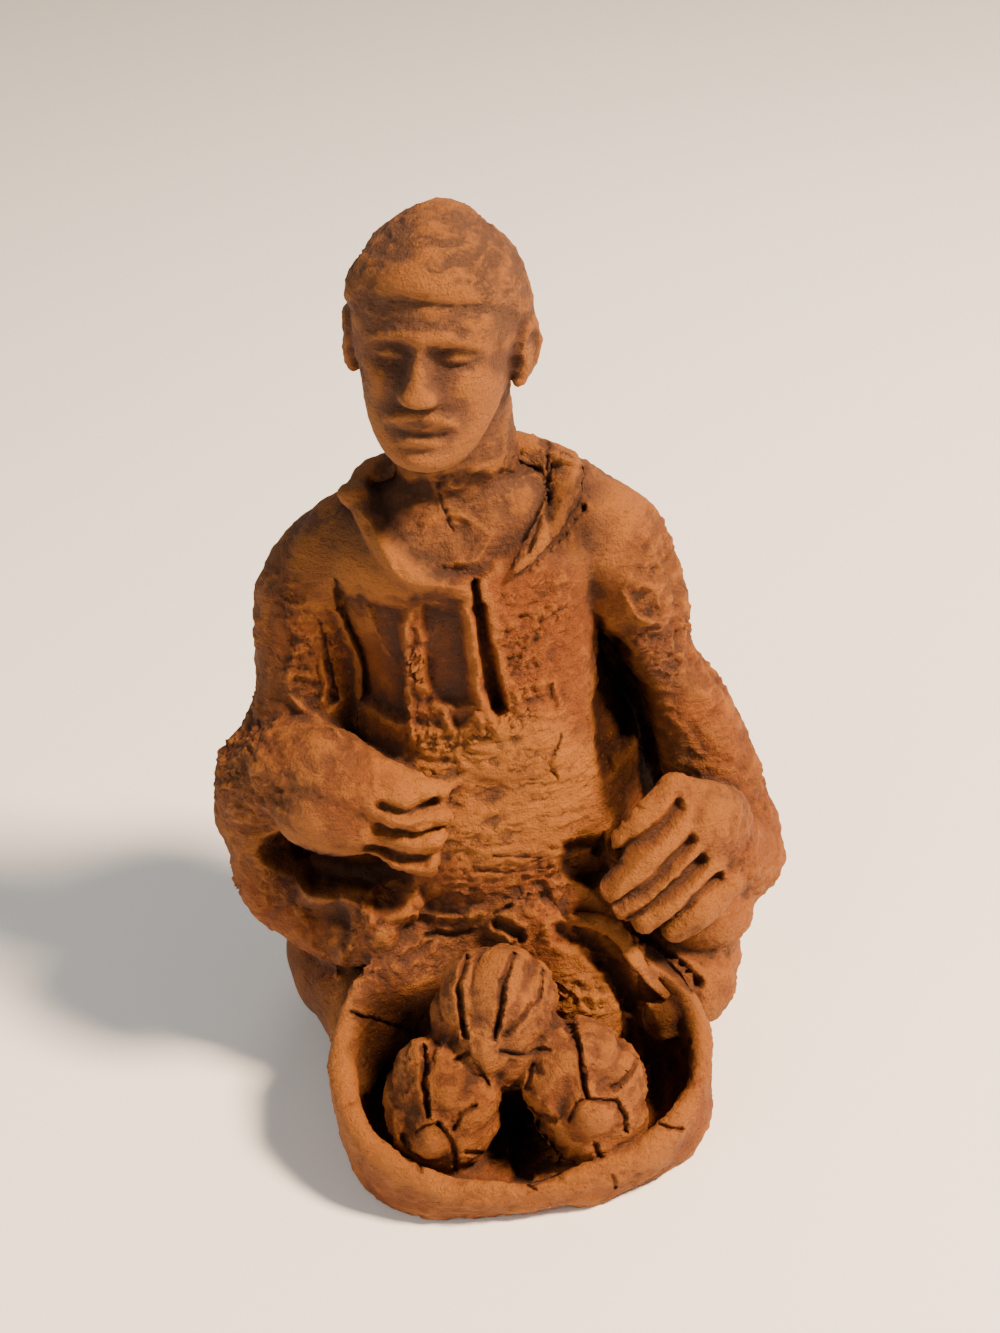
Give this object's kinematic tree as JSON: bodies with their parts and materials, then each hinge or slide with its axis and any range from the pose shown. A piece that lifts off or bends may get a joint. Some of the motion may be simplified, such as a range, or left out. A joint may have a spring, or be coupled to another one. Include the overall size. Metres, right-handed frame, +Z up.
{
  "type": "terracotta figurine of a seated seller",
  "caption": "Hand-modelled terracotta figurine of a seated, robed seller in a felt cap with a bowl of three ribbed gourds in the lap.",
  "frame": {"origin": "on the ground under the centre of the figurine's bounding box", "axes": "+Z up; the figure faces -Y; +X is the figure's left"},
  "size_m": [0.101, 0.0976, 0.1573],
  "materials": {
    "terracotta": "rough fired clay"
  },
  "bodies": {
    "root": {"seated_seller": "terracotta"}
  },
  "joints": []
}
